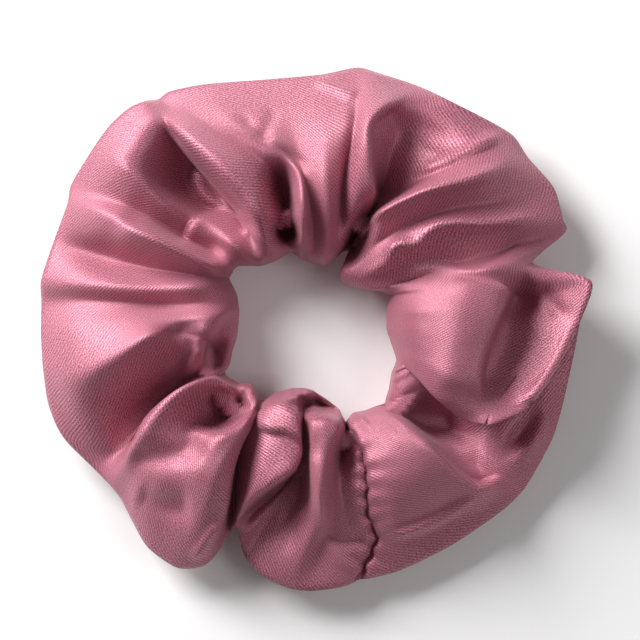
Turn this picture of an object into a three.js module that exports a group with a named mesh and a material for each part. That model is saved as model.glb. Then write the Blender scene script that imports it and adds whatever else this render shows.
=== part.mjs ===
// A satin scrunchie: a sewn tube of satin, gathered on a loop of flat elastic, lying relaxed on a table.
// Millimetres, +Z up. The origin is the ring's middle, on the table. The tube's ends meet on -Y side.
// The loop is cut across at y = 0, so that its two halves can be drawn apart as the elastic stretches.
import * as THREE from "three";

// The relaxed ring.
const RING_WIDTH = 110; // across, along X
const RING_DEPTH = 105; // across, along Y
const RING_HEIGHT = 26; // table to the crown of the gathers
const HOLE_WIDTH = 33; // across the hair opening, between the lobes
const EDGE_HEIGHT = 7; // height of the folded outer edge
const BASE_INSET = 4; // from the hole and from the outer edge to the flat that rests on the table
const CROWN_BIAS = 0.62; // under 1 the crown lies nearer the hole than the outer edge
const CROWN_ROUNDING = 0.55; // smaller is fuller

// The gathers: between two lobes the satin dips to the elastic, and the hole's edge draws back.
const GATHERS_DEG = [29, 67, 101, 143, 207, 216, 233, 288, 319, 342];
const GATHER_WIDTH_DEG = 5;
const GATHER_RECESS = 2.5; // how far the hole's edge draws back
const GATHER_ROOM = 6; // height of a gather's lowest point over the elastic

// Two deep folds that notch the outer edge.
const NOTCHES = [
  { deg: 21, depth: 6, widthDeg: 6 },
  { deg: 250, depth: 7, widthDeg: 5 },
];

// The satin is 0.25 mm. Its gathers fold to and fro through the tube, but for a channel for the elastic,
// so each length of the sleeve is a solid with that channel in it.
const SATIN_PACKED = 1.2; // the gathers, pulled tight between the channel and the hair opening
const CHANNEL_FLOOR = 1.5;
const CHANNEL_WIDTH = 8.5; // from the tight gathers outwards
const CHANNEL_ROOM = 1; // over the elastic
const SEAM_ALLOWANCE = 5; // width of the long seam's turned-in edge
const ALLOWANCE_THICKNESS = 0.6;
const ALLOWANCE_BASE = 2.6;
const CLOSING_SEAM_DEG = 288;
const SEAM_LIP = 0.8; // how far the tube's ends roll in where they are sewn together

// The elastic: one flat strip whose ends are lapped and stitched.
const ELASTIC_WIDTH = 6;
const ELASTIC_THICKNESS = 1;
const ELASTIC_CLEARANCE = 1.8; // to the satin on the hole side
const ELASTIC_LIFT = 1.8; // over the long seam's allowance
const LAP_LENGTH = 12;
const LAP_DEG = 225; // where the middle of the lap is
const LAP_EASE_DEG = 20; // over which the outer layer comes back down to the ring

const THREAD_RADIUS = 0.2;
const THREAD_SIDES = 6;
const THREAD_SINK = 0.4; // of the closing seam's thread below the satin's face
const THREAD_INWARDS = 0.8; // of the long seam's thread from the satin, on its allowance
const ZIGZAG_TURNS = 4;
const ZIGZAG_MARGIN = 1; // from the stitches to the elastic's edges

const GAP = 0.3; // between pieces that would touch
const STATION_DEG = 3.6;
const UPPER_STEPS = 8; // along the satin's upper face
const LOWER_STEPS = 3; // along the curve from the base to each edge

const CUT_DEG = (0.5 * GAP * 360) / (Math.PI * HOLE_WIDTH); // half a gap, as an angle at the hole
const ALLOWANCE_TOP = ALLOWANCE_BASE + ALLOWANCE_THICKNESS;
const ELASTIC_BASE = ALLOWANCE_TOP + ELASTIC_LIFT;
const ELASTIC_TOP = ELASTIC_BASE + ELASTIC_WIDTH;
const CHANNEL_TOP = ELASTIC_TOP + CHANNEL_ROOM;
const ELASTIC_INNER_RADIUS = HOLE_WIDTH / 2 + GATHER_RECESS + SATIN_PACKED + ELASTIC_CLEARANCE;
const SIDE_HEIGHT = (ELASTIC_BASE + ELASTIC_TOP) / 2; // where the tube is nearest the hole's middle
const GATHER_HEIGHT = ELASTIC_TOP + GATHER_ROOM;

/** A bump of height 1 at the middle angle, which falls to nothing over a few widths. */
function bump(deg, middleDeg, widthDeg) {
  const apart = THREE.MathUtils.euclideanModulo(deg - middleDeg + 180, 360) - 180;
  return Math.exp(-((apart / widthDeg) ** 2));
}

/** How deep in a gather this angle is, from 0 on a lobe to 1 in the bottom of a gather. */
function gathered(deg) {
  return Math.max(...GATHERS_DEG.map((middle) => bump(deg, middle, GATHER_WIDTH_DEG)));
}

function holeRadius(deg) {
  return HOLE_WIDTH / 2 + GATHER_RECESS * gathered(deg);
}

/** The outer edge is an ellipse with its notches taken out of it. */
function outerRadius(deg) {
  const turn = THREE.MathUtils.degToRad(deg);
  const round = 1 / Math.hypot(Math.cos(turn) / (RING_WIDTH / 2), Math.sin(turn) / (RING_DEPTH / 2));
  return NOTCHES.reduce((radius, n) => radius - n.depth * bump(deg, n.deg, n.widthDeg), round);
}

/** Height of the satin's upper face, a share of the way from the hole to the outer edge. */
function upperHeight(deg, share) {
  const dip = gathered(deg) * (1 - share) ** 2;
  const crown = RING_HEIGHT + (GATHER_HEIGHT - RING_HEIGHT) * dip;
  const side = SIDE_HEIGHT + (EDGE_HEIGHT - SIDE_HEIGHT) * share;
  return side + (crown - side) * Math.sin(Math.PI * share ** CROWN_BIAS) ** CROWN_ROUNDING;
}

/** The tube's outline at one angle, as (radius, height) points, anticlockwise from the base's inner end. */
function satinOutline(deg) {
  const [hole, outer] = [holeRadius(deg), outerRadius(deg)];
  const points = [new THREE.Vector2(hole + BASE_INSET, 0)];
  for (let i = 0; i < LOWER_STEPS; i++) {
    const turn = (Math.PI / 2) * (i / LOWER_STEPS);
    points.push(
      new THREE.Vector2(
        outer - BASE_INSET + BASE_INSET * Math.sin(turn),
        EDGE_HEIGHT * (1 - Math.cos(turn)),
      ),
    );
  }
  for (let i = 0; i <= UPPER_STEPS; i++) {
    const share = (1 + Math.cos((Math.PI * i) / UPPER_STEPS)) / 2; // closer together at both ends
    points.push(new THREE.Vector2(hole + (outer - hole) * share, upperHeight(deg, share)));
  }
  for (let i = 1; i < LOWER_STEPS; i++) {
    const turn = (Math.PI / 2) * (i / LOWER_STEPS);
    points.push(
      new THREE.Vector2(
        hole + BASE_INSET - BASE_INSET * Math.cos(turn),
        SIDE_HEIGHT * (1 - Math.sin(turn)),
      ),
    );
  }
  return points;
}

/** A closed outline moved inwards by a distance, each point along the mean normal of its two sides. */
function inset(outline, distance) {
  return outline.map((point, i) => {
    const before = outline.at(i - 1);
    const after = outline[(i + 1) % outline.length];
    const a = point.clone().sub(before).normalize();
    const b = after.clone().sub(point).normalize();
    const inwards = new THREE.Vector2(-a.y - b.y, a.x + b.x).normalize();
    return inwards.multiplyScalar(distance).add(point);
  });
}

/** Radius at which the tight gathers end and the channel starts, at a height. */
function channelRadius(deg, height) {
  const outline = inset(satinOutline(deg), SATIN_PACKED);
  const crossings = outline.flatMap((a, i) => {
    const b = outline[(i + 1) % outline.length];
    const crosses = a.y > height !== b.y > height;
    return crosses ? [a.x + ((b.x - a.x) * (height - a.y)) / (b.y - a.y)] : [];
  });
  return Math.min(...crossings);
}

/** The channel's outline, clockwise. The long seam's allowance stands into it from the hole side. */
function channelOutline(deg) {
  const side = (height, inwards = 0) => new THREE.Vector2(channelRadius(deg, height) + inwards, height);
  const far = channelRadius(deg, SIDE_HEIGHT) + CHANNEL_WIDTH;
  return [
    side(CHANNEL_FLOOR),
    side(ALLOWANCE_BASE),
    side(ALLOWANCE_BASE, SEAM_ALLOWANCE),
    side(ALLOWANCE_TOP, SEAM_ALLOWANCE),
    side(ALLOWANCE_TOP),
    side(SIDE_HEIGHT),
    side(CHANNEL_TOP),
    new THREE.Vector2(far, CHANNEL_TOP),
    new THREE.Vector2(far, CHANNEL_FLOOR),
  ];
}

/** A (radius, height) point at an angle round the ring, in the part's frame. */
function placed(point, deg) {
  const turn = THREE.MathUtils.degToRad(deg);
  return new THREE.Vector3(point.x * Math.cos(turn), point.x * Math.sin(turn), point.y);
}

/**
 * A closed solid carried round the ring through the given angles. outlineAt gives its outline at each angle,
 * anticlockwise, and channelAt that of a channel right through it, clockwise.
 */
function carriedRound(angles, outlineAt, channelAt = null) {
  const points = [];
  const faces = [];
  const wall = (outlines) => {
    const start = points.length;
    const count = outlines[0].length;
    const at = (ring, i) => start + ring * count + (i % count);
    outlines.forEach((outline, ring) => points.push(...outline.map((p) => placed(p, angles[ring]))));
    for (let ring = 0; ring + 1 < outlines.length; ring++) {
      for (let i = 0; i < count; i++) {
        const corners = [at(ring, i), at(ring + 1, i), at(ring + 1, i + 1), at(ring, i + 1)];
        faces.push(corners[0], corners[1], corners[2], corners[0], corners[2], corners[3]);
      }
    }
    return (ring) => outlines[ring].map((_, i) => at(ring, i));
  };
  const outlines = angles.map(outlineAt);
  const channels = channelAt ? angles.map(channelAt) : [];
  const outlineIndex = wall(outlines);
  const channelIndex = channelAt ? wall(channels) : () => [];
  for (const ring of [0, angles.length - 1]) {
    const index = [...outlineIndex(ring), ...channelIndex(ring)];
    const cap = THREE.ShapeUtils.triangulateShape(outlines[ring], channelAt ? [channels[ring]] : []);
    cap.forEach(([a, b, c]) => faces.push(index[a], index[ring ? c : b], index[ring ? b : c]));
  }
  return new THREE.BufferGeometry().setFromPoints(points).setIndex(faces);
}

/** Angles from start to end, about a station apart. */
function stations(startDeg, endDeg) {
  const count = Math.round((endDeg - startDeg) / STATION_DEG);
  return Array.from({ length: count + 1 }, (_, i) => startDeg + ((endDeg - startDeg) * i) / count);
}

/** stations, with the two ends drawn in by half a gap. */
function trimmedStations(startDeg, endDeg) {
  const angles = stations(startDeg, endDeg);
  angles[0] += CUT_DEG;
  angles[angles.length - 1] -= CUT_DEG;
  return angles;
}

function rectangle(innerRadius, outerRadiusHere, base, top) {
  return [
    new THREE.Vector2(innerRadius, base),
    new THREE.Vector2(outerRadiusHere, base),
    new THREE.Vector2(outerRadiusHere, top),
    new THREE.Vector2(innerRadius, top),
  ];
}

/** A length of the satin tube. Where it ends at the closing seam, its outline is drawn in to a lip. */
function satinTube(startDeg, endDeg) {
  const atSeam = (deg) => Math.abs(deg - CLOSING_SEAM_DEG) < 2 * CUT_DEG;
  return carriedRound(
    trimmedStations(startDeg, endDeg),
    (deg) => inset(satinOutline(deg), atSeam(deg) ? SEAM_LIP : 0),
    channelOutline,
  );
}

/** A length of the elastic. outwardsAt is how far it stands off the ring, where one end laps the other. */
function elasticStrip(angles, outwardsAt = () => 0) {
  return carriedRound(angles, (deg) => {
    const inner = ELASTIC_INNER_RADIUS + outwardsAt(deg);
    return rectangle(inner, inner + ELASTIC_THICKNESS, ELASTIC_BASE, ELASTIC_TOP);
  });
}

/** A thread through the given points. */
function threadThrough(points, steps) {
  const circle = new THREE.Shape();
  for (let i = 0; i < THREAD_SIDES; i++) {
    const turn = (2 * Math.PI * i) / THREAD_SIDES;
    const [x, y] = [THREAD_RADIUS * Math.cos(turn), THREAD_RADIUS * Math.sin(turn)];
    if (i) circle.lineTo(x, y);
    else circle.moveTo(x, y);
  }
  const path = new THREE.CatmullRomCurve3(points);
  return new THREE.ExtrudeGeometry(circle, { steps, extrudePath: path, curveSegments: 1 });
}

/** The long seam's thread, along the root of its allowance. */
function longSeamThread(startDeg, endDeg) {
  const height = ALLOWANCE_TOP + GAP + THREAD_RADIUS;
  const points = trimmedStations(startDeg, endDeg).map((deg) =>
    placed(new THREE.Vector2(channelRadius(deg, ALLOWANCE_TOP) + THREAD_INWARDS, height), deg),
  );
  return threadThrough(points, points.length - 1);
}

/** The closing seam's thread, round the tube in the groove between its two ends. */
function closingSeamThread() {
  const outline = inset(satinOutline(CLOSING_SEAM_DEG), THREAD_SINK);
  const halves = outline.flatMap((p, i) => [p, p.clone().lerp(outline[(i + 1) % outline.length], 0.5)]);
  const points = halves.slice(0, -1).map((point) => placed(point, CLOSING_SEAM_DEG));
  return threadThrough(points, 2 * points.length);
}

/** The zigzag that joins the elastic's lapped ends, on the hole side of the lap. */
function lapZigzag() {
  const radius = ELASTIC_INNER_RADIUS - GAP - THREAD_RADIUS;
  const span = (LAP_LENGTH - 2 * ZIGZAG_MARGIN) / ELASTIC_INNER_RADIUS;
  const start = THREE.MathUtils.degToRad(LAP_DEG) - span / 2;
  const points = Array.from({ length: 2 * ZIGZAG_TURNS + 1 }, (_, i) => {
    const turn = THREE.MathUtils.radToDeg(start + (span * i) / (2 * ZIGZAG_TURNS));
    const height = i % 2 ? ELASTIC_TOP - ZIGZAG_MARGIN : ELASTIC_BASE + ZIGZAG_MARGIN;
    return placed(new THREE.Vector2(radius, height), turn);
  });
  return threadThrough(points, 8 * ZIGZAG_TURNS);
}

const LAP_HALF_DEG = THREE.MathUtils.radToDeg(LAP_LENGTH / 2 / ELASTIC_INNER_RADIUS);

/** How far the lap's outer layer stands off the ring at an angle. */
function lapStandOff(deg) {
  const past = THREE.MathUtils.clamp((deg - LAP_DEG - LAP_HALF_DEG) / LAP_EASE_DEG, 0, 1);
  return (ELASTIC_THICKNESS + GAP) * (1 - THREE.MathUtils.smoothstep(past, 0, 1));
}

const satin = new THREE.MeshStandardMaterial({ color: 0xb96a7c, roughness: 0.38, metalness: 0 });
const elastic = new THREE.MeshStandardMaterial({ color: 0xece6df, roughness: 0.85, metalness: 0 });
const thread = new THREE.MeshStandardMaterial({ color: 0x8c4557, roughness: 0.7, metalness: 0 });

const scrunchie = new THREE.Group();

function addPiece(name, geometry, material) {
  const mesh = new THREE.Mesh(geometry, material);
  mesh.name = name;
  geometry.computeVertexNormals();
  scrunchie.add(mesh);
}

// The satin sleeve: one sewn tube. Its ends meet at the closing seam, and the cut at y = 0 parts its halves.
addPiece("sleeve_far_half", satinTube(0, 180), satin);
addPiece("sleeve_left_end", satinTube(180, CLOSING_SEAM_DEG), satin);
addPiece("sleeve_right_end", satinTube(CLOSING_SEAM_DEG, 360), satin);

// The elastic: the far half, the end under the lap and the end over it.
const lapStart = LAP_DEG - LAP_HALF_DEG;
const lapEnd = LAP_DEG + LAP_HALF_DEG;
addPiece("elastic_far_half", elasticStrip(trimmedStations(0, 180)), elastic);
addPiece("elastic_inner_end", elasticStrip([180 + CUT_DEG, ...stations(180 + STATION_DEG, lapEnd)]), elastic);
addPiece(
  "elastic_outer_end",
  elasticStrip([...stations(lapStart, 360 - STATION_DEG), 360 - CUT_DEG], lapStandOff),
  elastic,
);

// The sewing.
addPiece("elastic_lap_stitching", lapZigzag(), thread);
addPiece("long_seam_stitching_far", longSeamThread(0, 180), thread);
addPiece("long_seam_stitching_left", longSeamThread(180, CLOSING_SEAM_DEG), thread);
addPiece("long_seam_stitching_right", longSeamThread(CLOSING_SEAM_DEG, 360), thread);
addPiece("closing_seam_stitching", closingSeamThread(), thread);

export default scrunchie;
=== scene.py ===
"""A satin scrunchie, lying relaxed on a table: a gathered satin sleeve on a hidden loop of elastic."""
import math
import bpy
import numpy as np
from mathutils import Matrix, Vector


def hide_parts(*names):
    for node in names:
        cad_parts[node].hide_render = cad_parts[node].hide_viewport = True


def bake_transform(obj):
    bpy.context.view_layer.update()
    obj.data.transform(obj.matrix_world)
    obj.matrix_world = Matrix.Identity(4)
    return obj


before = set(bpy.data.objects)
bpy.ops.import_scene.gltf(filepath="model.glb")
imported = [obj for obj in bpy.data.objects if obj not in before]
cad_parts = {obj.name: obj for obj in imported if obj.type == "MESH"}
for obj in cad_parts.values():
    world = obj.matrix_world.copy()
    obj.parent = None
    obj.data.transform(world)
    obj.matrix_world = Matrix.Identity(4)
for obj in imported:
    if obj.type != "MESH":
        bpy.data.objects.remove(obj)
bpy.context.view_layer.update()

MM = 0.001


# ---- The table, the light and the camera ---------------------------------------------------------
# The scrunchie lies on a plain pale table. A large soft lamp stands beyond its left shoulder, and white walls
# all round fill the folds. The camera looks straight down.

def linear(hex_colour):
    """The linear colour of an sRGB hex value: each part c becomes ((c + 0.055) / 1.055) to the power 2.4."""
    parts = [int(hex_colour[i:i + 2], 16) / 255 for i in (1, 3, 5)]
    return [c / 12.92 if c <= 0.04045 else ((c + 0.055) / 1.055) ** 2.4 for c in parts] + [1.0]


def node(tree, kind, inputs=None, **settings):
    """Adds one node. Settings go to the node; each input is a value or another node's output."""
    made = tree.nodes.new("ShaderNode" + kind)
    for name, value in settings.items():
        setattr(made, name, value)
    for name, value in (inputs or {}).items():
        socket = made.inputs[name]
        if isinstance(value, bpy.types.NodeSocket):
            tree.links.new(value, socket)
        else:
            socket.default_value = value
    return made


def new_material(name):
    """A material with an empty node tree, which gets its own output node from finish_material."""
    material = bpy.data.materials.new(name)
    material.use_nodes = True
    material.node_tree.nodes.clear()
    return material, material.node_tree


def finish_material(tree, shader):
    """Joins the shader to the material's output."""
    node(tree, "OutputMaterial", {"Surface": shader.outputs[0]})


def add_object(name, data):
    """A new object at the origin, unturned."""
    made = bpy.data.objects.new(name, data)
    bpy.context.scene.collection.objects.link(made)
    return made


def aimed(made, place, target):
    """Stands a lamp or camera at a place, looking at a target."""
    made.location = place
    made.rotation_euler = (Vector(target) - Vector(place)).to_track_quat("-Z", "Y").to_euler()


CAMERA_HEIGHT = 0.62
CAMERA_PLACE = (0.0009, 0.0019, CAMERA_HEIGHT)
FIELD = 0.1294  # width that the camera takes in, halfway up the outer edge
FIELD_HEIGHT = 0.005
CAMERA_SENSOR = 36.0
camera_data = bpy.data.cameras.new("camera")
camera_data.sensor_width = CAMERA_SENSOR
camera_data.lens = CAMERA_SENSOR * (CAMERA_HEIGHT - FIELD_HEIGHT) / FIELD
camera_data.clip_start = 0.01
camera = add_object("camera", camera_data)
camera.location = CAMERA_PLACE
bpy.context.scene.camera = camera
bpy.context.scene.view_settings.view_transform = "Standard"

LAMPS = {
    "key_lamp": {"place": (-0.44, 0.42, 0.38), "size": 0.36, "watts": 9.4},
    "fill_lamp": {"place": (0.42, -0.05, 0.46), "size": 0.30, "watts": 0.8},
}
for lamp_name, lamp in LAMPS.items():
    lamp_data = bpy.data.lights.new(lamp_name, "AREA")
    lamp_data.size = lamp["size"]
    lamp_data.energy = lamp["watts"]
    aimed(add_object(lamp_name, lamp_data), lamp["place"], (0, 0, 0))

WALL_BRIGHTNESS = 0.155
world = bpy.data.worlds.new("white_walls")
world.use_nodes = True
walls = world.node_tree.nodes["Background"]
walls.inputs["Color"].default_value = (1, 1, 1, 1)
walls.inputs["Strength"].default_value = WALL_BRIGHTNESS
bpy.context.scene.world = world

TABLE_SIZE = 3.0
table_mesh = bpy.data.meshes.new("table")
corners = [(-1, -1), (1, -1), (1, 1), (-1, 1)]
table_mesh.from_pydata([(x * TABLE_SIZE / 2, y * TABLE_SIZE / 2, 0) for x, y in corners], [], [(0, 1, 2, 3)])
table = add_object("table", table_mesh)
table_paint, tree = new_material("matt_white_table")
finish_material(tree, node(tree, "BsdfPrincipled", {"Base Color": linear("#f4f3f3"), "Roughness": 0.9}))
table_mesh.materials.append(table_paint)


# ---- The satin sleeve ----------------------------------------------------------------------------
# One strip of polyester satin, folded lengthwise, sewn into a tube and turned right side out. The elastic
# inside gathers it, so it stands in folds that run from the hair opening to the folded outer edge.

STRIP_LENGTH = 0.360  # round the loop, between the stitches of the closing seam
TUBE_WIDTH = 0.045  # of the tube pressed flat, between the long seam and the folded edge
SATIN_THICKNESS = 0.25 * MM
UNDERSIDE = 0.8 * MM  # height at which the lower layer is laid
LOWEST = 0.6 * MM  # that any of the satin is laid
COLUMNS = 500  # round the loop
ROWS_OVER = 52  # across the upper layer
ROWS_UNDER = 44  # back across the lower layer

# Crests and valleys of the folds, anticlockwise from the closing seam: x, y and height in millimetres. Each
# starts at the hair opening and runs over the upper layer to the folded outer edge.
FOLD_LINES = {
    "closing seam": [(6, -19, 9), (9, -24, 15), (10.2, -30, 15), (10.5, -37, 12), (12.2, -42, 9),
        (10.7, -46, 7), (8.5, -50.5, 3)],
    "panel by the seam": [(7.5, -17, 8), (11.5, -23.5, 16), (14, -30.5, 17), (15.5, -37, 14),
        (15.5, -42, 10), (15.5, -49, 3)],
    "panel": [(10, -16.5, 8), (16, -20.5, 17), (21, -27, 18), (24.5, -32.5, 14), (26, -36, 10),
        (28, -43, 3)],
    "panel far edge": [(12.5, -15.5, 9), (16.5, -18, 17), (22, -22.5, 18), (28, -28, 15), (34, -32, 10),
        (38, -36, 3)],
    "panel valley": [(14, -15, 9), (18, -17, 12.5), (24, -21.5, 12), (31, -27, 10), (37, -29, 9),
        (42, -32, 3)],
    "rise under the flap": [(14.5, -13.5, 8), (20, -14.5, 12.5), (29, -19.5, 9), (38, -22.5, 9),
        (43.5, -22.5, 10), (47.5, -22, 4)],
    "under the flap": [(15, -12, 7), (22, -10, 12.5), (31, -11, 6), (41.5, -10, 5), (46.5, -11, 6),
        (50.5, -12, 2)],
    "back under the flap": [(15.5, -9, 6), (23, -4, 12.5), (33.5, -3, 5), (43.5, -1, 4),
        (53.5, 4.5, 2)],
    "flap near edge": [(16.5, -6, 9), (20, -9.5, 16), (25, -15, 20), (30, -18.5, 20), (33.5, -19, 16)],
    "flap 1": [(15.5, -3, 9), (21, -6, 19), (26, -9, 22), (32, -12, 18), (37, -14, 16),
        (42, -15.5, 14)],
    "flap 2": [(14.5, 0, 9), (21, -1, 20), (27.5, -2, 22), (34, -3, 17), (37.5, -4, 13),
        (43.5, -6.5, 14), (48.5, -6.5, 12)],
    "flap 3": [(14.5, 3.5, 9), (21, 3.5, 20), (28.5, 4, 22), (35, 2.5, 18), (38.5, 2, 12), (45.5, 2, 12),
        (52.5, 1.5, 11)],
    "flap tip": [(15, 7, 9), (23, 7.5, 18), (31, 9, 20), (37.5, 8, 17), (40.5, 7, 11), (47.5, 7.5, 12),
        (55, 9.5, 12)],
    "notch": [(13, 8, 9), (23, 10.5, 15), (33.5, 12, 18), (39.5, 13, 16), (43, 13.5, 7)],
    "valley under the glint": [(10, 8, 8), (17, 9, 13), (25, 12.5, 15), (35.5, 15, 14), (42.5, 17.5, 11),
        (50, 19.5, 5)],
    "glint ridge": [(5.5, 9.5, 9), (10, 12, 15), (15.5, 16.5, 19), (24, 21, 20), (34, 21.5, 18),
        (42.5, 21.5, 14), (49.5, 22, 6)],
    "valley between": [(5, 11.5, 9), (9.5, 15, 14), (17, 20, 17), (27, 24, 17), (37.5, 25.5, 14),
        (48, 28, 5)],
    "bright ridge": [(6, 13.5, 9), (7.5, 17, 17), (13, 23, 21), (20, 26.5, 22), (30, 30, 20),
        (37.5, 32.5, 15), (42.5, 34.5, 5)],
    "panel foot": [(6.5, 15, 8), (10, 21.5, 12.5), (17, 27, 13), (25, 32, 15), (33.5, 37, 13),
        (39.5, 39, 5)],
    "panel behind": [(7, 16, 8), (9, 20, 12.5), (11.5, 24, 10), (13.5, 30, 10), (15.5, 36.5, 11),
        (20, 42.5, 12), (27, 45.5, 8)],
    "top fold edge": [(6, 16, 9), (10.5, 23.5, 16), (11.5, 30, 19), (11, 36.5, 20), (13, 42, 18),
        (17, 46.5, 13), (20, 49, 5)],
    "top fold": [(5, 15.5, 9), (7.5, 23, 17), (8.5, 31, 20), (9.5, 38.5, 20), (10.5, 45.5, 15),
        (12, 51.5, 6)],
    "top valley": [(4, 14.5, 8), (5, 23.5, 15), (6, 32.5, 17), (7.5, 40.5, 17), (9, 47.5, 12),
        (9, 52.5, 5)],
    "top roll": [(2, 13, 9), (2.5, 21, 19), (2, 29, 21), (2, 36.5, 19), (2, 44.5, 14), (1.5, 51, 6)],
    "dark groove": [(-0.5, 13.5, 8), (-0.5, 19, 15), (-1.5, 26, 17), (-3, 33.5, 18), (-5, 40.5, 16),
        (-9.5, 50, 6)],
    "curl rim": [(-3, 14.5, 9), (-2.5, 19, 20), (-2.5, 25, 23), (-3.5, 31, 22), (-8, 36, 20),
        (-15.5, 40.5, 17), (-22.5, 49, 6)],
    "curl pocket": [(-5, 16, 8), (-5, 19.5, 12.5), (-5.5, 24, 12), (-7, 30, 15), (-12, 34.5, 17),
        (-20.5, 39.5, 16), (-29.5, 47.5, 6)],
    "broad fold": [(-6.5, 15, 9), (-9, 19.5, 19), (-12, 25, 22), (-17, 31, 23), (-23, 37.5, 20),
        (-31.5, 46, 6)],
    "broad fold edge": [(-8, 14, 9), (-11.5, 18, 17), (-14.5, 23, 18), (-19.5, 28.5, 18),
        (-25.5, 35.5, 19), (-33.5, 45.5, 10)],
    "dark hollow": [(-11, 13, 8), (-13, 18, 12.5), (-15.5, 22.5, 9), (-19.5, 27, 5), (-25, 33.5, 9),
        (-31.5, 40.5, 17), (-37, 44, 11)],
    "small lobe": [(-13, 13, 9), (-16.5, 17, 17), (-20, 20.5, 16), (-25, 24, 13), (-29.5, 28.5, 12),
        (-34, 36, 18), (-41, 40.5, 10)],
    "shoulder": [(-15.5, 13, 9), (-20.5, 18, 14), (-25, 21.5, 15), (-30, 25, 18), (-37, 32, 20),
        (-44, 36.5, 9)],
    "shallow valley": [(-16.5, 12.3, 8), (-21.5, 16, 12), (-27, 18.5, 13), (-34.5, 23, 16),
        (-42.5, 26.5, 14), (-49, 29, 5)],
    "long ridge": [(-17.2, 11, 9), (-21, 13, 18), (-26.5, 16, 22), (-33.5, 19.5, 23), (-41, 22.5, 19),
        (-49.5, 25.5, 6)],
    "shaded slope": [(-17.6, 10.2, 9), (-21.5, 10.5, 14), (-27.5, 11.5, 13), (-35.5, 13, 13),
        (-43.5, 15, 12), (-52.5, 17.5, 5)],
    "left ridge": [(-17, 9, 9), (-22.5, 8.5, 18), (-31.5, 8, 18), (-41.5, 8.5, 17), (-48.5, 9, 14),
        (-55, 9.5, 6)],
    "left dip": [(-16, 7, 9), (-21.5, 5.5, 16), (-30.5, 5, 14), (-39.5, 5.5, 14), (-48.5, 6, 11),
        (-55, 6, 4)],
    "dome": [(-15.5, 3.5, 9), (-20.5, 2.5, 19), (-27, 2, 19), (-36, 1.5, 18), (-47.5, 0, 15),
        (-55, -1, 5)],
    "dome crest": [(-16, -1.5, 9), (-19, -1.5, 14), (-22.5, -1, 20), (-27, -0.5, 17), (-32, -1, 23),
        (-40, -6, 21), (-47, -9.5, 17), (-54.5, -8, 6)],
    "dome hollow": [(-17, -4.5, 8), (-20, -4.5, 12.5), (-23, -4.5, 20), (-27, -5.5, 13), (-31, -7.5, 13),
        (-38, -13, 12), (-46, -17, 12), (-53.5, -15.5, 4)],
    "under the lower fold": [(-17.5, -7, 8), (-20.5, -8, 12.5), (-25, -9.5, 10), (-29.5, -13, 7),
        (-34.5, -18.5, 7), (-41, -24, 8), (-50, -22.5, 4)],
    "back under the lower fold": [(-18.5, -8.5, 8), (-21.5, -10, 12.5), (-28.5, -13, 8),
        (-34.5, -18.5, 8), (-38.5, -24, 8), (-45, -27.5, 3)],
    "lower fold edge": [(-18, -9.5, 10), (-21, -9.5, 17), (-25.5, -11, 20), (-30.5, -14.5, 20),
        (-34, -18, 19), (-36.5, -23.5, 16), (-41, -31.5, 4)],
    "dip beside the edge": [(-15.5, -11, 9), (-17, -11.5, 16), (-20.5, -13, 14), (-24.5, -17.5, 15),
        (-30.5, -22.5, 18), (-35.5, -28.5, 14), (-39, -34, 4)],
    "dip": [(-13, -11, 9), (-14.5, -13, 13), (-17.5, -16.5, 12), (-22.5, -20.5, 16), (-28.5, -26.5, 18),
        (-33.5, -34.5, 14), (-37, -38, 4)],
    "thin ridge": [(-12, -12.5, 9), (-12, -15, 16), (-15.5, -18, 18), (-19, -21.5, 20),
        (-22.5, -26.5, 21), (-25.5, -33.5, 17), (-33.5, -44, 4)],
    "lower left crest": [(-11.5, -14, 9), (-13, -17.5, 16), (-16, -22.5, 19), (-19, -27.5, 21),
        (-21, -33.5, 19), (-23.5, -40.5, 14), (-27.5, -48, 4)],
    "lower left flank": [(-11, -14.5, 8), (-12.5, -18.5, 14), (-15, -23.5, 16), (-17, -30.5, 17),
        (-18, -36.5, 15), (-22.5, -47.5, 4)],
    "deep valley": [(-10.5, -14.5, 8), (-12.5, -18.5, 12.5), (-15.5, -24.5, 9), (-16.5, -31.5, 7),
        (-16.5, -36.5, 6), (-17, -40.5, 4)],
    "bottom facet": [(-8, -13, 9), (-9, -15.5, 17), (-9.5, -20.5, 18), (-11, -26.5, 17),
        (-13, -32.5, 14), (-16, -39, 8)],
    "bottom facet edge": [(-5, -12, 9), (-4, -14.5, 19), (-3.5, -19.5, 19), (-3, -24.5, 18),
        (-6, -29, 16), (-12, -33.5, 13), (-15.5, -40, 6)],
    "bottom hollow": [(-3, -12, 8), (-2.5, -14.5, 14), (-2.5, -19.5, 13), (-3, -26.5, 9), (-7, -33.5, 7),
        (-11.5, -40.5, 6), (-14, -46, 3)],
    "bottom crease": [(-2, -12, 9), (-2, -16, 15), (-1.5, -22.5, 13), (-2.5, -32.5, 10), (-7, -42.5, 8),
        (-10.5, -49.5, 4)],
    "bottom ridge flank": [(-0.5, -12.5, 9), (-0.5, -16.5, 19), (-0.5, -23.5, 19), (-0.5, -30.5, 17),
        (-0.5, -37.5, 14), (-5, -52, 4)],
    "bottom ridge": [(2, -14, 10), (1.5, -18, 19.5), (1.5, -24.5, 20), (1, -32.5, 19), (1.5, -38.5, 14),
        (1, -44, 9), (-1, -52.5, 4)],
    "bottom ridge right": [(4.5, -16, 9), (4.5, -19.5, 19), (3.5, -24.5, 18), (3, -30.5, 15),
        (3.5, -37.5, 12), (3.5, -52, 4)],
    "leaf hollow": [(5, -17, 9), (6, -20, 12), (5, -25.5, 11), (4.5, -31.5, 12), (6, -38.5, 11),
        (6, -51.5, 4)],
}


def smooth(x):
    """Rises from 0 to 1 along an S curve while x goes from 0 to 1."""
    x = np.clip(x, 0, 1)
    return x * x * (3 - 2 * x)


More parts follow.
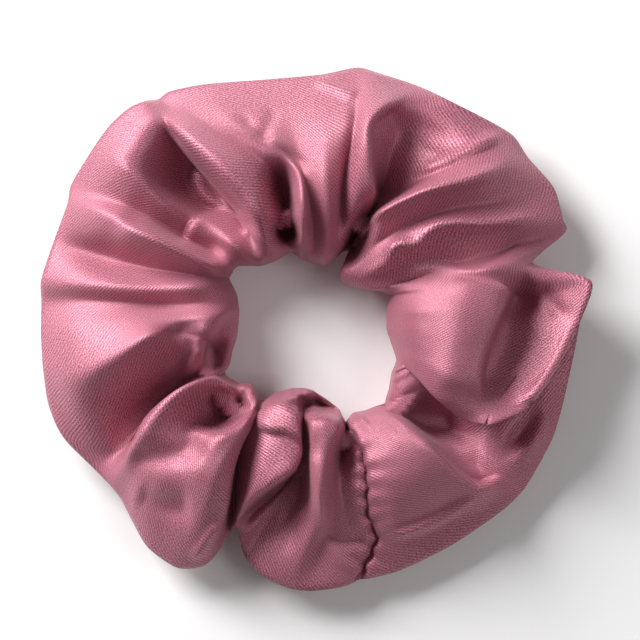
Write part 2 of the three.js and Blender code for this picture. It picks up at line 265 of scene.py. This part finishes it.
def hermite(knots, values, slopes, at):
    """Cubic Hermite curve: at each knot it has the given value and slope, and it is smooth between them."""
    i = np.clip(np.searchsorted(knots, at, side="right") - 1, 0, len(knots) - 2)
    span = (knots[i + 1] - knots[i])[:, None]
    x = (at - knots[i])[:, None] / span
    rise = (2 * x**3 - 3 * x**2 + 1) * values[i] + (3 * x**2 - 2 * x**3) * values[i + 1]
    return rise + ((x**3 - 2 * x**2 + x) * slopes[i] + (x**3 - x**2) * slopes[i + 1]) * span


def evenly(points, count):
    """A smooth curve through the points, cut into count + 1 places an equal length apart."""
    knots = np.concatenate([[0], np.cumsum(np.linalg.norm(np.diff(points, axis=0), axis=1))])
    fine = hermite(knots, points, np.gradient(points, knots, axis=0), np.linspace(0, knots[-1], 400))
    run = np.concatenate([[0], np.cumsum(np.linalg.norm(np.diff(fine, axis=0), axis=1))])
    even = np.linspace(0, run[-1], count + 1)
    return np.stack([np.interp(even, run, fine[:, k]) for k in range(3)], axis=1)


LIP_HEIGHT = 12.4 * MM  # of the cloth where it passes over the elastic
LIP_RUN = 1.4 * MM  # from the edge of the hair opening to that place
EDGE_RISE = 3 * MM  # the folded outer edge stands this much higher than its fold lines' last places


def tube_section(line):
    """
    The tube's closed outline along one fold line: a smooth curve over the line, then straight back under it
    in plan. Its height falls from each edge to the lower layer's as a power of the share of the way.
    """
    line = np.array(line) * MM
    line[-1, 2] += EDGE_RISE
    outwards = line[1, :2] - line[0, :2]
    lip = np.append(line[0, :2] + outwards * LIP_RUN / np.linalg.norm(outwards), LIP_HEIGHT)
    over = evenly(np.vstack([line[:1], lip, line[1:]]), ROWS_OVER)
    share = (0.5 - 0.5 * np.cos(np.pi * np.linspace(0, 1, ROWS_UNDER + 1)))[1:-1, None]
    under = over[-1] + (over[0] - over[-1]) * share
    from_edge = (over[-1, 2] - UNDERSIDE) * (1 - share[:, 0]) ** 6
    from_hole = (over[0, 2] - UNDERSIDE) * share[:, 0] ** 16
    under[:, 2] = UNDERSIDE + from_edge + from_hole
    return np.vstack([over, under])


def folded_sleeve(facet=0.85, edge_facet=0.4, rounding=0.5 * MM):
    """
    The sleeve as laid out, as an array of columns, rows and coordinates. Across the fold lines it is
    part straight, part cubic, with less straight at the outer edge, and then averaged under a bell curve,
    which rounds the straight part's edges.
    """
    sections = np.array([tube_section(line) for line in FOLD_LINES.values()])
    rows = sections.shape[1]
    from_edge = np.abs(np.arange(rows) - ROWS_OVER) / (0.35 * ROWS_OVER)
    straightness = np.repeat(edge_facet + (facet - edge_facet) * smooth(from_edge), 3)
    steps = np.linalg.norm(np.roll(sections, -1, axis=0) - sections, axis=2).mean(axis=1)
    knots = np.concatenate([[0], np.cumsum(steps)])
    loop = knots[-1]
    wrapped = np.concatenate([sections[-2:], sections, sections[:3]]).reshape(len(sections) + 5, -1)
    wrapped_knots = np.concatenate([knots[-3:-1] - loop, knots, knots[1:3] + loop])
    finer = 2  # times as many columns while the folds are rounded
    at = np.arange(COLUMNS * finer) / (COLUMNS * finer) * loop
    cubic = hermite(wrapped_knots, wrapped, np.gradient(wrapped, wrapped_knots, axis=0), at)
    straight = np.stack([np.interp(at, wrapped_knots, values) for values in wrapped.T], axis=1)
    surface = straightness * straight + (1 - straightness) * cubic
    sigma = rounding / (loop / len(at))
    offsets = np.arange(-math.ceil(3 * sigma), math.ceil(3 * sigma) + 1)
    weights = np.exp(-0.5 * (offsets / sigma) ** 2)
    weights /= weights.sum()
    surface = sum(np.roll(surface, k, axis=0) * w for k, w in zip(offsets, weights))
    sleeve = surface[::finer].reshape(COLUMNS, rows, 3)
    sleeve[..., 2] = np.maximum(sleeve[..., 2], LOWEST)
    return sleeve


# Where one fold lies over the next, the cloth ends in a ledge: its height, how far it reaches to each side,
# and its path, with the high side on the left.
LEDGES = {
    "broad fold": (7, 5, [(-31, 43), (-24.5, 36), (-18, 29), (-13, 23), (-9.5, 17)]),
    "small lobe": (3.5, 3, [(-13, 22), (-17, 24), (-22, 23.5), (-25.5, 20), (-26, 16.5)]),
    "long ridge": (5, 4, [(-18.5, 11.5), (-25, 15), (-31, 18), (-40, 22)]),
    "top roll": (8, 5, [(13.5, 24), (11.5, 29), (11, 35), (11, 40), (14, 43.5), (18, 45.5)]),
    "flap's upper edge": (2, 4, [(43, 19.5), (38, 15), (32, 12), (26, 13), (20, 12.5), (16, 11)]),
    "flap's roll": (8, 5, [(33.5, -15), (33, -8), (35, -1), (38, 5), (42, 12)]),
    "panel's far edge": (8, 5, [(38, -29), (33, -31), (29, -29), (25, -25), (20, -19.5), (15, -15)]),
    "lower lobe": (5, 4, [(-18, -9.5), (-22, -9.6), (-26, -11), (-30, -14), (-34, -19), (-37, -23.5),
        (-41, -26)]),
    "sliver": (5, 3, [(-21, -9), (-22.5, -5), (-22, -1)]),
    "thin ridge": (6, 3, [(-11, -14.5), (-14, -17.5), (-18, -20), (-25, -19)]),
    "band over the facet": (2.5, 3, [(-12.5, -19), (-9, -20), (-5, -20.5), (-1.5, -24)]),
    "facet's lower edge": (8, 4, [(-16.5, -39), (-12, -34), (-6, -29.5), (-1, -27)]),
    "upright ridge": (2, 3, [(-1, -24), (-1, -31), (-1, -38)]),
}

# Narrow ridges and, with a negative height, creases: height, width and path.
RIDGES = {
    "curl rim": (1, 1.5, [(-3, 33), (-2.5, 28), (-2.8, 22), (-3, 18)]),
    "top crease": (-1, 1, [(-16, 43), (-12, 39.5), (-9.5, 36.5), (-5, 34.5), (-1, 31.5)]),
    "star arm": (-0.6, 1, [(-10, 39), (-8, 44)]),
    "top valley": (-2, 1.2, [(8.5, 47), (8, 40), (6.5, 33), (5.5, 26), (5, 18)]),
    "corner": (1, 1.2, [(0, 50), (5, 48), (8.5, 46)]),
    "panel crease": (1.8, 0.8, [(20, 31), (26, 33.5), (31, 36), (38, 39.5)]),
    "bright ridge": (2.6, 0.9, [(9, 19), (12, 23), (20, 27), (30, 29.5), (38, 32.5)]),
    "glint": (2.2, 0.8, [(7, 10), (12, 12), (14.5, 14), (15.5, 16.5), (20, 17), (23, 20), (27, 21),
        (33, 21), (45, 22.5)]),
    "petal rim": (2, 1.2, [(52, 2), (49, -6), (45, -11), (40, -15.5)]),
    "petal crease": (-1, 1.2, [(45.5, 9.5), (47, 6), (50, 2)]),
    "outer facet": (1.6, 1.0, [(14, -41.5), (20, -40), (26, -37.5), (33, -33)]),
    "small curl": (1.5, 1, [(-15.5, -11), (-13, -11), (-12, -13)]),
    "soft band": (-1.5, 2.5, [(-38, -25), (-30, -25), (-20, -23.5)]),
    "lower soft band": (-2, 3, [(-36, -33), (-30, -35), (-24, -35)]),
    "lobe crease": (1.5, 1, [(-19, -38), (-25, -47)]),
    "hollow's crease": (1.2, 1, [(-1, -33), (-5, -39), (-11, -48)]),
    "upright crest": (0.5, 1.5, [(3.5, -19), (1.5, -25), (1, -33), (1.5, -40)]),
    "panel foot": (-1, 1, [(1, -40.5), (4, -42.5), (11, -42.5)]),
}

# Hollows: depth, centre, the two radii and the turn in degrees.
HOLLOWS = {
    "curl pocket": (8, (-6.5, 28), (3, 5.5), 0),
    "curl opening": (10, (-6, 19.5), (2.6, 2.2), 0),
    "black pocket": (12, (8.5, 18.5), (2.2, 5), -25),
    "star": (1.2, (-10, 38.5), (1.2, 1.2), 0),
    "beside the sliver": (3, (-19.5, -4), (2, 4), 0),
    "lobe dip": (4, (-20, -15.5), (6, 4), 0),
    "under the facet": (3, (-9, -39), (5, 6), -45),
    "slit": (9, (-0.5, -15.2), (4, 1.6), -8),
    "leaf": (3, (5.5, -24), (1.8, 4), -15),
    "petal hollow": (3, (41, 6), (3.5, 4), 0),
    "under the flap": (6, (24, -18.5), (9, 3.5), -15),
    "under the petal": (4, (42, -19), (2.2, 6), -30),
    "below the long ridge": (3, (-40, 14), (9, 3.5), -15),
    "beside the broad fold": (3.5, (-25, 28), (9, 4), -50),
    "left pocket": (4, (-23, -4), (2.5, 3.5), 10),
    "beside the top roll": (1.6, (22, 39), (7, 3), -25),
}


def beside(path, places):
    """
    For each place, its distance to the left of a smooth path, its share of the way along it, and a weight
    that falls to nothing along the last fifth at each end.
    """
    points = np.array([(x, y, 0) for x, y in path]) * MM
    line = (evenly(points, 40) if len(path) > 2 else np.linspace(points[0], points[1], 41))[:, :2]
    start, run = line[:-1], np.diff(line, axis=0)
    away = places[:, None] - start
    along = np.clip((away * run).sum(axis=2) / (run**2).sum(axis=1), 0, 1)
    gap = away - along[..., None] * run
    distance = np.hypot(gap[..., 0], gap[..., 1])
    nearest = distance.argmin(axis=1)
    pick = (np.arange(len(places)), nearest)
    left = np.sign(run[nearest, 0] * away[pick][:, 1] - run[nearest, 1] * away[pick][:, 0])
    share = (nearest + along[pick]) / len(run)
    return distance[pick] * left, share, smooth(share / 0.2) * smooth((1 - share) / 0.2)


SEAM_PITCH = 3.6 * MM  # between the puckers of the closing seam
SEAM_DEPTH = 2.2  # of its groove, in millimetres, as all the reliefs are
SEAM_WIDTH = 0.45 * MM
SEAM_SWAY = 0.3 * MM
PUCKER_START = 0.8 * MM  # from the seam
PUCKER_REACH = 2.6 * MM
PUCKER_HEIGHT = 0.55
SEAM_SWELLING = 0.8


def closing_seam_relief(places):
    """
    The closing seam: a groove, as a bell curve across a line that sways a little, beside a swelling to each
    side, in which a sine along the seam, turned over on one side, makes puckers on the two sides in turn.
    """
    line = FOLD_LINES["closing seam"]
    distance, share, _ = beside([point[:2] for point in line], places)
    length = np.linalg.norm(np.diff(np.array(line)[:, :2], axis=0), axis=1).sum() * MM
    phase = 2 * np.pi * share * length / SEAM_PITCH
    groove = np.exp(-(((distance + SEAM_SWAY * np.sin(phase)) / SEAM_WIDTH) ** 2))
    near = np.exp(-np.abs(distance) / PUCKER_REACH) * (1 - np.exp(-((distance / PUCKER_START) ** 2)))
    puckers = PUCKER_HEIGHT * np.sin(phase) * np.sign(distance) * near
    return puckers + SEAM_SWELLING * near - SEAM_DEPTH * groove


GATHER_HEIGHT = 0.22
GATHER_REACH = 5 * MM  # outwards from the hair opening


def small_gathers(over):
    """
    Fine pleats at the hair opening: the sum of three sines of different lengths round the loop, which swells
    and sinks round it and dies away outwards.
    """
    turn = 2 * np.pi * np.arange(len(over))[:, None] / len(over)
    waves = np.sin(53 * turn) + 0.8 * np.sin(37 * turn + 2) + 0.6 * np.sin(71 * turn + 4)
    run = np.linalg.norm(over[..., :2] - over[:, :1, :2], axis=2)
    swell = 0.6 + 0.4 * np.sin(5 * turn + 1) * np.sin(11 * turn)
    return GATHER_HEIGHT * waves * swell * np.exp(-run / GATHER_REACH)


UNDERSIDE_FOLDS = 17
UNDERSIDE_RISE = 3 * MM  # of the creases between those folds, off the table


def underside_creases(under):
    """
    Rise of the lower layer off the table: one less the size of a sine round the loop, whose phase sways, so
    that round folds lie on the table with sharp creases between them. It dies away at both edges.
    """
    turn = 2 * np.pi * np.arange(under.shape[0])[:, None] / under.shape[0]
    across = np.sin(np.pi * np.linspace(0, 1, under.shape[1]))[None] ** 0.7
    sway = 0.8 * np.sin(3 * turn) + 0.5 * np.sin(7 * turn + 2) + 0.4 * across * np.sin(4 * turn + 1)
    swell = 0.65 + 0.35 * np.sin(5 * turn + 1)
    return UNDERSIDE_RISE * swell * across * (1 - np.abs(np.sin(UNDERSIDE_FOLDS / 2 * turn + sway)))


LEDGE_SHARPNESS = 0.4 * MM
RELIEF_FROM = (7, 3)  # the height of the cloth where the relief starts, and how much higher it is whole
ELASTIC_SPAN = ((21, 0.5), (25.5, 1.0))  # radii where the cloth is over the elastic, and the run up to each


def creased(sleeve):
    """
    The sleeve with its relief. A ledge is the hyperbolic tangent of the distance across its path, dying away
    exponentially to each side. A ridge is a bell curve across its path. A hollow is the exponential of less
    the cube of the distance from its centre, counted in its radii. None of it takes the cloth over the
    elastic below the lip's height.
    """
    sleeve[:, ROWS_OVER + 1:, 2] += underside_creases(sleeve[:, ROWS_OVER + 1:, 2])
    over = sleeve[:, 1:ROWS_OVER]
    places = over[..., :2].reshape(-1, 2)
    rise = np.zeros(len(places))
    for height, reach, path in LEDGES.values():
        distance, _, weight = beside(path, places)
        step = np.tanh(distance / LEDGE_SHARPNESS) * np.exp(-np.abs(distance) / (reach * MM))
        rise += height / 2 * step * weight
    for height, width, path in RIDGES.values():
        distance, _, weight = beside(path, places)
        rise += height * np.exp(-((distance / (width * MM)) ** 2)) * weight
    for depth, centre, radii, turn in HOLLOWS.values():
        away = places - np.array(centre) * MM
        cosine, sine = math.cos(math.radians(turn)), math.sin(math.radians(turn))
        u = (away[:, 0] * cosine + away[:, 1] * sine) / (radii[0] * MM)
        v = (away[:, 1] * cosine - away[:, 0] * sine) / (radii[1] * MM)
        rise -= depth * np.exp(-((u**2 + v**2) ** 1.5))
    rise = rise.reshape(over.shape[:2]) * smooth((over[..., 2] / MM - RELIEF_FROM[0]) / RELIEF_FROM[1])
    rise += closing_seam_relief(places).reshape(over.shape[:2])
    rise += small_gathers(over)
    height = over[..., 2] + rise * MM
    radius = np.hypot(over[..., 0], over[..., 1])
    (inner, inner_run), (outer, outer_run) = ELASTIC_SPAN
    over_elastic = smooth((radius / MM - inner) / inner_run) * smooth((outer - radius / MM) / outer_run)
    height = np.maximum(height, LIP_HEIGHT * over_elastic)
    over[..., 2] = height
    return sleeve


def ring_faces(columns, rows):
    """Quads of a grid that closes on itself both ways, with their outer sides out."""
    i, j = np.meshgrid(np.arange(columns), np.arange(rows), indexing="ij")
    right, up = (i + 1) % columns, (j + 1) % rows
    quads = np.stack([i * rows + j, right * rows + j, right * rows + up, i * rows + up], axis=2)
    return quads.reshape(-1, 4)


def mesh_from(name, points, faces):
    """A mesh of a grid of points and its quads."""
    mesh = bpy.data.meshes.new(name)
    mesh.from_pydata(np.reshape(points, (-1, 3)).tolist(), [], np.asarray(faces).tolist())
    mesh.update()
    return mesh


CLOTH_SCALE = 10  # the sleeve settles ten times up, since the cloth solver is meant for larger things
CLOTH_FRAMES = 14
CLOTH_SLACK = 1.015  # of the cloth over the sleeve as laid, which it takes up in fine creases
GROUND_CLEARANCE = 0.001  # in the scaled-up scene
# How strongly springs hold each part of the sleeve where it was laid.
HOLD = {"folds": 0.45, "outer edge": 0.35, "beside the opening": 0.4, "opening": 0.8}


def between(coarse):
    """A grid closed both ways, with the mean of each two neighbours put between them in both directions."""
    for axis in (0, 1):
        halfway = (coarse + np.roll(coarse, -1, axis=axis)) / 2
        shape = list(coarse.shape)
        shape[axis] *= 2
        coarse = np.stack([coarse, halfway], axis=axis + 1).reshape(shape)
    return coarse


def settled(sleeve):
    """
    The sleeve after its cloth has settled. The solver has every second place both ways, and the places
    between move with them. Springs hold the folds as laid, and the strongest ones hold the hair opening,
    where the elastic is.
    """
    laid = sleeve[::2, ::2]
    columns, rows = laid.shape[:2]
    cloth = add_object("cloth", mesh_from("cloth", laid * CLOTH_SCALE, ring_faces(columns, rows)))
    cloth.shape_key_add(name="laid")
    slack = cloth.shape_key_add(name="slack")
    slack.data.foreach_set("co", (laid * CLOTH_SCALE * CLOTH_SLACK).ravel())
    hold = np.full((columns, rows), HOLD["folds"])
    hold[:, ROWS_OVER // 2 - 1:ROWS_OVER // 2 + 2] = HOLD["outer edge"]
    hold[:, [1, -1]] = HOLD["beside the opening"]
    hold[:, 0] = HOLD["opening"]
    group = cloth.vertex_groups.new(name="hold")
    for strength in np.unique(hold):
        group.add(np.nonzero(hold.ravel() == strength)[0].tolist(), float(strength), "REPLACE")
    modifier = cloth.modifiers.new("cloth", "CLOTH")
    settings = modifier.settings
    settings.quality = 6
    settings.mass = 0.1
    settings.tension_stiffness = settings.compression_stiffness = 20
    settings.shear_stiffness = 8
    settings.bending_model = "ANGULAR"
    settings.bending_stiffness = 1
    settings.bending_damping = 0.5
    settings.tension_damping = settings.compression_damping = 10
    settings.air_damping = 4
    settings.vertex_group_mass = "hold"
    settings.rest_shape_key = slack
    settings.effector_weights.gravity = 0.1
    contact = modifier.collision_settings
    contact.use_collision = True
    contact.collision_quality = 3
    contact.distance_min = 0.004
    contact.use_self_collision = False
    modifier.point_cache.frame_end = CLOTH_FRAMES
    ground = add_object("ground", table_mesh.copy())
    ground.modifiers.new("collision", "COLLISION")
    ground.collision.thickness_outer = GROUND_CLEARANCE
    scene = bpy.context.scene
    for frame_number in range(1, CLOTH_FRAMES + 1):
        scene.frame_set(frame_number)
    solved = cloth.evaluated_get(bpy.context.evaluated_depsgraph_get()).data
    points = np.empty(columns * rows * 3)
    solved.vertices.foreach_get("co", points)
    for done in (cloth, ground):
        mesh = done.data
        bpy.data.objects.remove(done)
        bpy.data.meshes.remove(mesh)
    scene.frame_set(1)
    moved = points.reshape(columns, rows, 3) / CLOTH_SCALE - laid
    return sleeve + between(moved)


sleeve_points = creased(folded_sleeve())
sleeve_points = settled(sleeve_points)

sleeve_mesh = mesh_from("satin_sleeve", sleeve_points, ring_faces(*sleeve_points.shape[:2]))
sleeve_mesh.shade_smooth()
sleeve = add_object("satin_sleeve", sleeve_mesh)


def strip_uv(mesh, columns, rows):
    """UV in metres on the strip: round the loop from the closing seam, and across from the long seam."""
    i, j = np.meshgrid(np.arange(columns), np.arange(rows), indexing="ij")
    round_loop = np.stack([i, i + 1, i + 1, i], axis=2) * STRIP_LENGTH / columns
    across = np.stack([j, j, j + 1, j + 1], axis=2) * 2 * TUBE_WIDTH / rows
    uv = np.stack([round_loop, across], axis=3)
    mesh.uv_layers.new(name="strip").data.foreach_set("uv", uv.ravel())


strip_uv(sleeve_mesh, *sleeve_points.shape[:2])
wall = sleeve.modifiers.new("thickness", "SOLIDIFY")
wall.thickness = SATIN_THICKNESS
wall.offset = -1

# Polyester satin, woven with long floats: they lie side by side in fine slanting lines and gloss across them.
satin, tree = new_material("polyester_satin")
strip_place = node(tree, "UVMap", uv_map="strip")
FLOAT_SPACING = 0.56 * MM  # between the slanting lines: several threads drawn as one, so that they show
lines = node(tree, "Mapping", {"Vector": strip_place.outputs[0], "Rotation": (0, 0, math.radians(45))})
lines.inputs["Scale"].default_value = (1 / FLOAT_SPACING,) * 3
weave = node(tree, "TexWave", {"Vector": lines.outputs[0], "Scale": math.tau / 20, "Distortion": 0.5,
                               "Detail": 1.0, "Detail Scale": 1.0}, wave_type="BANDS", bands_direction="X")
GLINT_SIZE = 0.24 * MM  # of the glints on single floats
CLOUD_SIZE = 17 * MM  # of patches that handling has left a little smoother
# Noise for the painted glints of single floats, which speckle the base colour lighter and darker; it also
# roughens the bump.
glint_speckle = node(tree, "TexNoise", {"Vector": strip_place.outputs[0], "Scale": 1 / GLINT_SIZE, "Detail": 2.0})
cloudy = node(tree, "TexNoise", {"Vector": strip_place.outputs[0], "Scale": 1 / CLOUD_SIZE, "Detail": 3.0})
# Painted light and shade along the slanting lines of floats, added to the speckle before it colours the
# satin.
painted_line_shade = node(tree, "MapRange", {"Value": weave.outputs["Fac"], "To Min": -0.06, "To Max": 0.06})
painted_glints_and_shade = node(tree, "Math", {0: glint_speckle.outputs["Fac"], 1: painted_line_shade.outputs[0]}, operation="ADD")
# The base colour: the satin's own dusty rose, speckled lighter and darker by painted glints of single floats,
# with painted light and shade along the slanting lines of floats.
tone = node(tree, "ValToRGB", {"Fac": painted_glints_and_shade.outputs[0]})
tone.color_ramp.elements[0].position = 0.38
tone.color_ramp.elements[0].color = linear("#863d4f")
tone.color_ramp.elements[1].position = 0.62
tone.color_ramp.elements[1].color = linear("#d2899c")
rough = node(tree, "MapRange", {"Value": cloudy.outputs["Fac"], "To Min": 0.41, "To Max": 0.52})
bump_height = node(tree, "Math", {0: weave.outputs["Fac"], 1: 0.5, 2: glint_speckle.outputs["Fac"]},
                   operation="MULTIPLY_ADD")
bump = node(tree, "Bump", {"Height": bump_height.outputs[0], "Distance": 0.09 * MM, "Strength": 0.95})
satin_shader = node(tree, "BsdfPrincipled", {
    "Base Color": tone.outputs["Color"], "Roughness": rough.outputs[0], "Normal": bump.outputs[0],
    "Metallic": 0.31, "IOR": 1.58, "Specular IOR Level": 0.4, "Anisotropic": 0.5,
    "Sheen Weight": 0.2, "Sheen Roughness": 0.45, "Sheen Tint": linear("#f0c0cc"),
})
finish_material(tree, satin_shader)
sleeve_mesh.materials.append(satin)

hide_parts("sleeve_far_half", "sleeve_left_end", "sleeve_right_end")


def stretches(piece):
    """Bakes the piece's placing into its mesh, so that the object stands at the origin, unturned."""
    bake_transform(piece)


stretches(sleeve)


# ---- The elastic ---------------------------------------------------------------------------------
# One flat strip of braided elastic, 6 mm wide, bent into a loop with its ends lapped. It stands on edge
# inside the sleeve, beside the hair opening, and draws the satin in.

ELASTIC_WIDTH = 6 * MM
ELASTIC_THICKNESS = 1 * MM
ELASTIC_RADIUS = 22 * MM  # of its inner face
ELASTIC_BASE = 5 * MM
LAP_MIDDLE = math.radians(225)
LAP_HALF = 6 * MM / ELASTIC_RADIUS  # half the lap, as an angle
LAP_STANDOFF = ELASTIC_THICKNESS + 0.3 * MM
LAP_EASE = math.radians(20)  # over which the outer layer comes back to the ring
CORDS = 8  # braided cords across the strip
BRAID_PITCH = 0.9 * MM


def elastic_surface(stations=420, around=96):
    """
    A profile carried round the loop, once and a lap more. The profile is a rounded slab, and its two faces
    swell in a row of cords, which a braid crosses in small waves.
    """
    turn = np.linspace(LAP_MIDDLE - LAP_HALF, LAP_MIDDLE + LAP_HALF + 2 * math.pi, stations)[:, None]
    off_ring = LAP_STANDOFF * (1 - smooth((turn - LAP_MIDDLE - LAP_HALF) / LAP_EASE))
    at = 2 * math.pi * np.arange(around)[None, :] / around
    across = np.sign(np.sin(at)) * np.abs(np.sin(at)) ** 0.7
    through = np.sign(np.cos(at)) * np.abs(np.cos(at)) ** 0.25
    cords = np.abs(np.sin(np.pi * CORDS * (across + 1) / 2))
    every_other = np.pi * np.floor(CORDS * (across + 1) / 2)
    braid = np.sin(2 * np.pi * turn * ELASTIC_RADIUS / BRAID_PITCH + every_other)
    thick = ELASTIC_THICKNESS / 2 * through * (0.78 + 0.16 * cords + 0.06 * braid * cords)
    radius = ELASTIC_RADIUS + ELASTIC_THICKNESS / 2 + off_ring + thick
    height = np.broadcast_to(ELASTIC_BASE + ELASTIC_WIDTH * (across + 1) / 2, radius.shape)
    return np.stack([radius * np.cos(turn), radius * np.sin(turn), height], axis=2)


def tube_faces(stations, around):
    """Quads of a profile carried along a path, and one flat face over each end."""
    i, j = np.meshgrid(np.arange(stations - 1), np.arange(around), indexing="ij")
    up = (j + 1) % around
    quads = np.stack([i * around + j, (i + 1) * around + j, (i + 1) * around + up, i * around + up], axis=2)
    last = (stations - 1) * around
    ends = [list(range(around)), list(range(last + around - 1, last - 1, -1))]
    return quads.reshape(-1, 4).tolist() + ends


elastic_points = elastic_surface()
elastic_mesh = bpy.data.meshes.new("elastic")
elastic_mesh.from_pydata(elastic_points.reshape(-1, 3).tolist(), [], tube_faces(*elastic_points.shape[:2]))
elastic_mesh.shade_smooth()
elastic = add_object("elastic", elastic_mesh)

# Braided polyester over rubber: matt and off-white, its tone varying a little in fine random patches.
braided, tree = new_material("braided_elastic")
place = node(tree, "TexCoord")
FUZZ_SIZE = 0.4 * MM
fuzz = node(tree, "TexNoise", {"Vector": place.outputs["Object"], "Scale": 1 / FUZZ_SIZE, "Detail": 3.0})
cord_tone = node(tree, "ValToRGB", {"Fac": fuzz.outputs["Fac"]})
cord_tone.color_ramp.elements[0].color = linear("#d8cfc4")
cord_tone.color_ramp.elements[1].color = linear("#f4efe8")
fuzz_bump = node(tree, "Bump", {"Height": fuzz.outputs["Fac"], "Distance": 0.05 * MM, "Strength": 0.5})
finish_material(tree, node(tree, "BsdfPrincipled", {
    "Base Color": cord_tone.outputs["Color"], "Normal": fuzz_bump.outputs[0], "Roughness": 0.85, "IOR": 1.5,
    "Sheen Weight": 0.2,
}))
elastic_mesh.materials.append(braided)

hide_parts("elastic_far_half", "elastic_inner_end", "elastic_outer_end")
stretches(elastic)


# ---- The stitching -------------------------------------------------------------------------------
# Polyester sewing thread, 0.4 mm thick, a shade darker than the satin. The long seam runs round the loop
# inside the tube, the closing seam goes round the tube where its ends meet, and a zigzag holds the elastic's
# lap.

THREAD_RADIUS = 0.2 * MM


def thread_surface(path, around=8):
    """A round thread along a path: at each place a circle square to it, which narrows at the two ends."""
    along = np.gradient(path, axis=0)
    along /= np.linalg.norm(along, axis=1)[:, None]
    side = np.cross(along, (0.0, 0.0, 1.0))
    side /= np.maximum(np.linalg.norm(side, axis=1), 1e-9)[:, None]
    up = np.cross(side, along)
    at = 2 * math.pi * np.arange(around) / around
    radius = np.full(len(path), THREAD_RADIUS)
    radius[[0, -1]] *= 0.35
    ring = np.cos(at)[None, :, None] * side[:, None] + np.sin(at)[None, :, None] * up[:, None]
    return path[:, None] + radius[:, None, None] * ring


def along_path(path, start, end, count):
    """Places an equal length apart on a path, from one length along it to another."""
    run = np.concatenate([[0], np.cumsum(np.linalg.norm(np.diff(path, axis=0), axis=1))])
    at = np.linspace(start, end, count)
    return np.stack([np.interp(at, run, path[:, k]) for k in range(3)], axis=1)


def stitches(name, threads, nodes):
    """One object of separate threads, each given by its path."""
    points, faces = [], []
    for path in threads:
        surface = thread_surface(path)
        stations, around = surface.shape[:2]
        first = sum(len(part) for part in points)
        faces += [[first + k for k in face] for face in tube_faces(stations, around)]
        points.append(surface.reshape(-1, 3))
    mesh = bpy.data.meshes.new(name)
    mesh.from_pydata(np.vstack(points).tolist(), [], faces)
    mesh.shade_smooth()
    mesh.materials.append(sewing_thread)
    made = add_object(name, mesh)
    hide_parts(*nodes)
    stretches(made)
    return made


# Twisted polyester thread: matt. The fine slanting lines of its three plies are painted into its colour:
# painted shade in the grooves between them, painted light on their crowns.
sewing_thread, tree = new_material("polyester_sewing_thread")
place = node(tree, "TexCoord")
PLY_SPACING = 0.35 * MM
plies = node(tree, "TexWave", {"Vector": place.outputs["Object"], "Scale": math.tau / 20 / PLY_SPACING,
                               "Distortion": 2.0},
             wave_type="BANDS", bands_direction="DIAGONAL")
# Painted shade between the plies at the darker end of the colour, painted light on them at the lighter end.
thread_tone = node(tree, "ValToRGB", {"Fac": plies.outputs["Fac"]})
thread_tone.color_ramp.elements[0].color = linear("#5a2433")
thread_tone.color_ramp.elements[1].color = linear("#8a4153")
finish_material(tree, node(tree, "BsdfPrincipled", {
    "Base Color": thread_tone.outputs["Color"], "Roughness": 0.6, "IOR": 1.55, "Sheen Weight": 0.3,
}))

STITCH = 2.6 * MM
STITCH_GAP = 0.9 * MM
seam_path = np.vstack([sleeve_points[0], sleeve_points[0, :1]])
seam_length = np.linalg.norm(np.diff(seam_path, axis=0), axis=1).sum()
starts = np.arange(1 * MM, seam_length - STITCH - 1 * MM, STITCH + STITCH_GAP)
seam_stitches = [along_path(seam_path, start, start + STITCH, 7) for start in starts]
stitches("closing_seam_stitching", seam_stitches, ["closing_seam_stitching"])

LONG_SEAM_ROW = -8  # of the sleeve's places: 3 mm outwards of the hair opening, on the lower layer
long_path = sleeve_points[:, LONG_SEAM_ROW] + np.array([0, 0, 0.6 * MM])
stitches("long_seam_stitching", [np.vstack([long_path, long_path[:1]])],
         ["long_seam_stitching_far", "long_seam_stitching_left", "long_seam_stitching_right"])

ZIGZAG_TURNS = 4
turn = LAP_MIDDLE + LAP_HALF * np.linspace(-0.85, 0.85, 16 * ZIGZAG_TURNS + 1)
wave = np.arcsin(np.sin(np.linspace(-np.pi / 2, (2 * ZIGZAG_TURNS - 0.5) * np.pi, len(turn)))) * 2 / np.pi
zigzag_radius = ELASTIC_RADIUS - 0.5 * MM
zigzag_height = ELASTIC_BASE + ELASTIC_WIDTH / 2 + wave * (ELASTIC_WIDTH / 2 - 1 * MM)
zigzag = np.stack([zigzag_radius * np.cos(turn), zigzag_radius * np.sin(turn), zigzag_height], axis=1)
stitches("elastic_lap_stitching", [zigzag], ["elastic_lap_stitching"])
